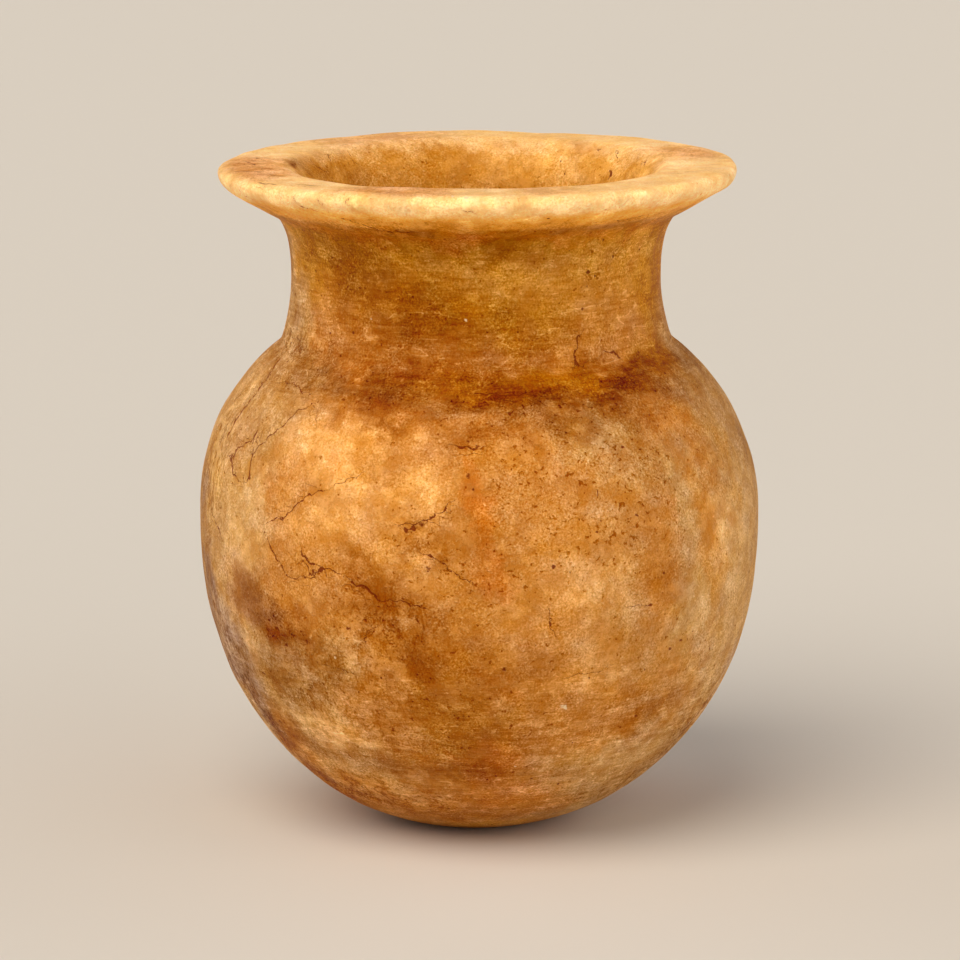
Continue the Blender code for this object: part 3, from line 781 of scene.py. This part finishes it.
def calcite_alabaster():
    """Calcite alabaster: banded, slightly translucent stone, carved, ground smooth by hand and long
    buried. It gives the eye cloudy honey colour, brown soil stains with broken edges, painted shade and
    light in places, fine grain, small pits and a soft dull polish."""
    material, tree, shader = new_material("calcite_alabaster")
    place = add(tree, "TexCoord").outputs["Object"]
    mm = add(tree, "VectorMath", {0: place, "Scale": 1 / MM}, operation="SCALE").outputs[0]
    around = add(tree, "VectorMath", {0: mm, 1: (0.1, 0.1, 1)}, operation="MULTIPLY").outputs[0]
    askew = add(tree, "VectorMath", {0: mm, 1: (0.3, 0.3, 1)}, operation="MULTIPLY").outputs[0]
    upright = add(tree, "VectorMath", {0: mm, 1: (1, 1, 0.4)}, operation="MULTIPLY").outputs[0]
    guides = {
        name: add(tree, "Attribute", attribute_name=name).outputs["Fac"]
        for name in [
            "shade", "specked", "creased", "tooled", "cream", "rosy",
            "crack_aside", "crack_width", "pit", "spar",
        ]
    }
    # Each pattern is named, and has its size in mm, detail and roughness
    patterns = {}
    for name, vector, size, detail, roughness in [
        ("cloud", mm, 24, 3, 0.5),  # banding of the stone
        ("edges", mm, 8, 7, 0.62),  # soil stain and wear
        ("warmth", mm, 7, 5, 0.65),  # iron in the stone
        ("mottle", mm, 4.5, 6, 0.8),  # crystals
        ("grain", mm, 0.45, 1, 0.5),  # ground surface, drawn coarser than its real 0.1 mm so that it shows
        ("lines", around, 0.8, 3, 0.75),  # scratches of the turning stone
        ("scratches", askew, 5, 2, 0.6),  # hairline scratches
        ("creases", upright, 2.4, 3, 0.6),  # creases of the weathered skin
        ("specks", mm, 1.3, 2, 0.6),  # dark grains and pinholes
    ]:
        sockets = {"Vector": vector, "Scale": 1 / size, "Detail": detail, "Roughness": roughness}
        noise = add(tree, "TexNoise", sockets).outputs[0]
        patterns[name] = add(tree, "Math", {0: noise, 1: 0.5}, operation="SUBTRACT").outputs[0]

    colour = linear(HONEY)
    for name, code, cover in HUE_LAYERS:
        amount = add(tree, "Attribute", attribute_name=name).outputs["Fac"]
        uneven = add(
            tree, "Math", {0: patterns["edges"], 1: 1.1, 2: amount}, operation="MULTIPLY_ADD"
        ).outputs[0]
        mask = add(
            tree, "MapRange", {"Value": uneven, "From Min": 0.25, "From Max": 0.9, "To Max": cover}
        ).outputs[0]
        colour = add(tree, "Mix", {0: mask, 6: colour, 7: linear(code)}, data_type="RGBA").outputs[2]

    # Worn and flaked places have sharper edges than the patterns that they follow
    sharp = {"To Min": -0.5, "To Max": 0.5}
    sockets = {"Value": patterns["edges"], "From Min": -0.05, "From Max": 0.05}
    worn = add(tree, "MapRange", sockets | sharp).outputs[0]
    sockets = {"Value": patterns["mottle"], "From Min": -0.03, "From Max": 0.03}
    flaky = add(tree, "MapRange", sockets | sharp).outputs[0]
    scraped = add(
        tree, "Math", {0: patterns["lines"], 1: guides["tooled"]}, operation="MULTIPLY"
    ).outputs[0]
    broken = add(
        tree, "Math", {0: patterns["edges"], 1: 1.6, 2: 1.0}, operation="MULTIPLY_ADD"
    ).outputs[0]
    shade = add(tree, "Math", {0: guides["shade"], 1: broken}, operation="MULTIPLY").outputs[0]
    speck = add(
        tree, "Math", {0: guides["specked"], 1: 0.07, 2: patterns["specks"]}, operation="MULTIPLY_ADD"
    ).outputs[0]
    speck = add(tree, "MapRange", {"Value": speck, "From Min": 0.17, "From Max": 0.24}).outputs[0]
    crumb = add(
        tree, "MapRange", {"Value": patterns["specks"], "From Min": -0.16, "From Max": -0.22}
    ).outputs[0]
    aside = add(
        tree, "Math", {0: patterns["specks"], 1: 0.5, 2: guides["crack_aside"]}, operation="MULTIPLY_ADD"
    ).outputs[0]
    aside = add(tree, "Math", {0: aside}, operation="ABSOLUTE").outputs[0]
    soiled = add(
        tree, "MapRange", {"Value": aside, "From Min": 0.0, "From Max": 1.3, "To Min": 14, "To Max": 0}
    ).outputs[0]
    soiled = add(
        tree, "Math", {0: soiled, 1: guides["crack_width"]}, operation="MULTIPLY", use_clamp=True
    ).outputs[0]
    rough = add(tree, "Math", {0: patterns["edges"], 1: 4.0, 2: 0.9}, operation="MULTIPLY_ADD").outputs[0]
    grain = add(tree, "Math", {0: patterns["grain"], 1: rough}, operation="MULTIPLY").outputs[0]
    # A scratch or a crease runs where its pattern is near nought, and fades in and out along its length
    scratch = add(tree, "Math", {0: patterns["scratches"]}, operation="ABSOLUTE").outputs[0]
    sockets = {"Value": scratch, "From Min": 0.003, "From Max": 0.014, "To Min": 1, "To Max": 0}
    scratch = add(tree, "MapRange", sockets).outputs[0]
    faint = add(
        tree, "MapRange", {"Value": patterns["mottle"], "From Min": -0.01, "From Max": 0.04}
    ).outputs[0]
    scratch = add(tree, "Math", {0: scratch, 1: faint}, operation="MULTIPLY").outputs[0]
    scratch = add(tree, "Math", {0: scratch, 1: guides["tooled"]}, operation="MULTIPLY").outputs[0]
    crease = add(tree, "Math", {0: patterns["creases"]}, operation="ABSOLUTE").outputs[0]
    sockets = {"Value": crease, "From Min": 0.01, "From Max": 0.065, "To Min": 1, "To Max": 0}
    crease = add(tree, "MapRange", sockets).outputs[0]
    faint = add(
        tree, "MapRange", {"Value": patterns["mottle"], "From Min": 0.04, "From Max": -0.01}
    ).outputs[0]
    crease = add(tree, "Math", {0: crease, 1: faint}, operation="MULTIPLY").outputs[0]
    crease = add(
        tree, "Math", {0: crease, 1: guides["creased"]}, operation="MULTIPLY", use_clamp=True
    ).outputs[0]
    tone = 0.0
    for pattern, amount in (
        (patterns["cloud"], CLOUD_TONE),
        (patterns["edges"], STAIN_TONE),
        (worn, WORN_TONE),
        (flaky, FLAKY_TONE),
        (soiled, SOILED_TONE),
        (patterns["mottle"], MOTTLE_TONE),
        (grain, GRAIN_TONE),
        (scraped, LINE_TONE),
        (speck, SPECK_TONE),
        (crumb, CRUMB_TONE),
        (scratch, SCRATCH_TONE),
        (crease, CREASE_TONE),
    ):
        tone = add(tree, "Math", {0: pattern, 1: amount, 2: tone}, operation="MULTIPLY_ADD").outputs[0]
    colour = add(tree, "Gamma", {"Color": colour, "Gamma": 1 / DISPLAY}).outputs[0]
    # The patterns are fainter on the creamy lip, though less so at its rosy places
    calm = add(tree, "Math", {0: guides["cream"], 1: -0.4, 2: 1.0}, operation="MULTIPLY_ADD").outputs[0]
    calm = add(tree, "Math", {0: guides["rosy"], 1: 0.35, 2: calm}, operation="MULTIPLY_ADD").outputs[0]
    tone = add(tree, "Math", {0: tone, 1: calm}, operation="MULTIPLY").outputs[0]
    for amount, axis in ((tone, TONE_AXIS), (shade, STAIN_AND_PAINTED_SHADE_AXIS), (patterns["warmth"], WARMTH_AXIS)):
        sockets = {0: amount, 1: axis, 2: colour}
        colour = add(tree, "VectorMath", sockets, operation="MULTIPLY_ADD").outputs[0]
    colour = add(tree, "VectorMath", {0: colour, 1: (0.01, 0.01, 0.01)}, operation="MAXIMUM").outputs[0]
    colour = add(tree, "Gamma", {"Color": colour, "Gamma": DISPLAY}).outputs[0]

    # Dirt in the cracks and pits has ragged edges, and covers less on the creamy lip
    ragged = add(
        tree, "Math", {0: patterns["specks"], 1: 2.5, 2: 0.9}, operation="MULTIPLY_ADD"
    ).outputs[0]
    reach = add(tree, "Math", {0: guides["crack_width"], 1: ragged}, operation="MULTIPLY").outputs[0]
    inner = add(tree, "Math", {0: reach, 1: 0.6}, operation="MULTIPLY").outputs[0]
    outer = add(tree, "Math", {0: reach, 1: 1.25}, operation="MULTIPLY").outputs[0]
    sockets = {"Value": aside, "From Min": inner, "From Max": outer, "To Min": 1, "To Max": 0}
    line = add(tree, "MapRange", sockets).outputs[0]
    hollow = add(
        tree, "Math", {0: patterns["specks"], 1: 3.0, 2: guides["pit"]}, operation="MULTIPLY_ADD"
    ).outputs[0]
    sockets = {"Value": hollow, "From Min": 0.55, "From Max": 1.0, "To Min": 1, "To Max": 0}
    hollow = add(tree, "MapRange", sockets).outputs[0]
    dirt = add(tree, "Math", {0: line, 1: hollow}, operation="MAXIMUM").outputs[0]
    cover = add(tree, "Math", {0: guides["cream"], 1: -0.4, 2: 0.9}, operation="MULTIPLY_ADD").outputs[0]
    dirty = add(tree, "Math", {0: dirt, 1: cover}, operation="MULTIPLY").outputs[0]
    colour = add(tree, "Mix", {0: dirty, 6: colour, 7: linear(DIRT)}, data_type="RGBA").outputs[2]
    spar = add(
        tree, "Math", {0: patterns["specks"], 1: 3.0, 2: guides["spar"]}, operation="MULTIPLY_ADD"
    ).outputs[0]
    sockets = {"Value": spar, "From Min": 0.5, "From Max": 1.0, "To Min": 0.9, "To Max": 0}
    spar = add(tree, "MapRange", sockets).outputs[0]
    colour = add(tree, "Mix", {0: spar, 6: colour, 7: linear(SPAR)}, data_type="RGBA").outputs[2]

    # How far each pattern stands out of the surface, in millimetres
    height = add(tree, "Math", {0: grain, 1: 0.08}, operation="MULTIPLY").outputs[0]
    for pattern, depth in (
        (patterns["mottle"], 0.28), (worn, 0.04), (flaky, 0.05), (scraped, 0.06),
        (speck, -0.1), (crumb, 0.05), (dirt, -0.12), (scratch, -0.03), (crease, -0.1),
    ):
        height = add(tree, "Math", {0: pattern, 1: depth, 2: height}, operation="MULTIPLY_ADD").outputs[0]
    bump = add(tree, "Bump", {"Height": height, "Distance": MM, "Strength": 1.0}).outputs[0]
    roughness = add(tree, "MapRange", {"Value": patterns["mottle"], "From Min": -0.1, "From Max": 0.1})
    roughness.inputs["To Min"].default_value, roughness.inputs["To Max"].default_value = ROUGHNESS
    for name, value in {"Base Color": colour, "Normal": bump, "Roughness": roughness.outputs[0]}.items():
        tree.links.new(value, shader.inputs[name])
    shader.inputs["IOR"].default_value = STONE_IOR
    shader.inputs["Specular IOR Level"].default_value = STONE_SPECULAR
    shader.inputs["Subsurface Weight"].default_value = SUBSURFACE_WEIGHT
    shader.inputs["Subsurface Radius"].default_value = SUBSURFACE_RADIUS
    shader.inputs["Subsurface Scale"].default_value = SUBSURFACE_SCALE
    return material


def painted_board():
    """Painted board: matt and pale, so that it only carries the pot's soft shadow."""
    material, _, shader = new_material("painted_board")
    shader.inputs["Base Color"].default_value = linear("#D9D6D1")
    shader.inputs["Roughness"].default_value = 0.8
    return material


FLOOR_HALF = 6.0  # metres from the middle to a side


def make_floor():
    """A flat square that the pot stands on."""
    corners = np.array([(-1, -1, 0), (1, -1, 0), (1, 1, 0), (-1, 1, 0)]) * FLOOR_HALF
    mesh = bpy.data.meshes.new("floor")
    mesh.from_pydata(corners, [], [(0, 1, 2, 3)])
    mesh.materials.append(painted_board())
    floor = bpy.data.objects.new("floor", mesh)
    bpy.context.scene.collection.objects.link(floor)


def aim(thing, position, target):
    """Puts a light or camera at position, facing target: its -Z axis points there, and +Y is up."""
    thing.location = position
    thing.rotation_euler = (Vector(target) - Vector(position)).to_track_quat("-Z", "Y").to_euler()
    bpy.context.scene.collection.objects.link(thing)


# Soft lamps: azimuth, elevation, angle across in degrees, strength, colour
LIGHTS = {
    "key": (-35, 52, 50, 2.3, "#FFF1DF"),
    "fill": (50, 18, 70, 1.0, "#FFF6EC"),
    "back_left": (-112, 8, 60, 1.05, "#FFFAF4"),
    "back_right": (112, 8, 60, 0.95, "#FFFAF4"),
}
ROOM, ROOM_STRENGTH = "#F2EEE8", 0.25


def make_lights():
    """Distant lamps, each seen as a wide disc so that its shadows are soft, and a pale room round them."""
    for name, (azimuth, elevation, across, strength, code) in LIGHTS.items():
        light = bpy.data.lights.new(name, "SUN")
        light.angle = math.radians(across)
        light.energy = strength
        light.color = linear(code)[:3]
        a, e = math.radians(azimuth), math.radians(elevation)
        direction = Vector((math.sin(a) * math.cos(e), -math.cos(a) * math.cos(e), math.sin(e)))
        aim(bpy.data.objects.new(name, light), direction, (0, 0, 0))
    world = bpy.data.worlds.new("pale_room")
    world.use_nodes = True
    background = world.node_tree.nodes["Background"]
    background.inputs["Color"].default_value = linear(ROOM)
    background.inputs["Strength"].default_value = ROOM_STRENGTH
    bpy.context.scene.world = world


CAMERA_ELEVATION, CAMERA_DISTANCE, LENS, SENSOR = 10.98, 1.2, 198.2, 36.0
CAMERA_TARGET = (0.00015, 0, 0.0772)


def make_camera():
    """A long lens at the front, looking a little down."""
    camera = bpy.data.cameras.new("camera")
    camera.lens = LENS
    camera.sensor_width = SENSOR
    target = Vector(CAMERA_TARGET)
    e = math.radians(CAMERA_ELEVATION)
    camera_object = bpy.data.objects.new("camera", camera)
    aim(camera_object, target + CAMERA_DISTANCE * Vector((0, -math.cos(e), math.sin(e))), target)
    bpy.context.scene.camera = camera_object


pot = make_pot()
pot.data.materials.append(calcite_alabaster())
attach(pot, "root")
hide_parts(NODE)
make_floor()
make_lights()
make_camera()
bpy.context.scene.view_settings.view_transform = "Standard"
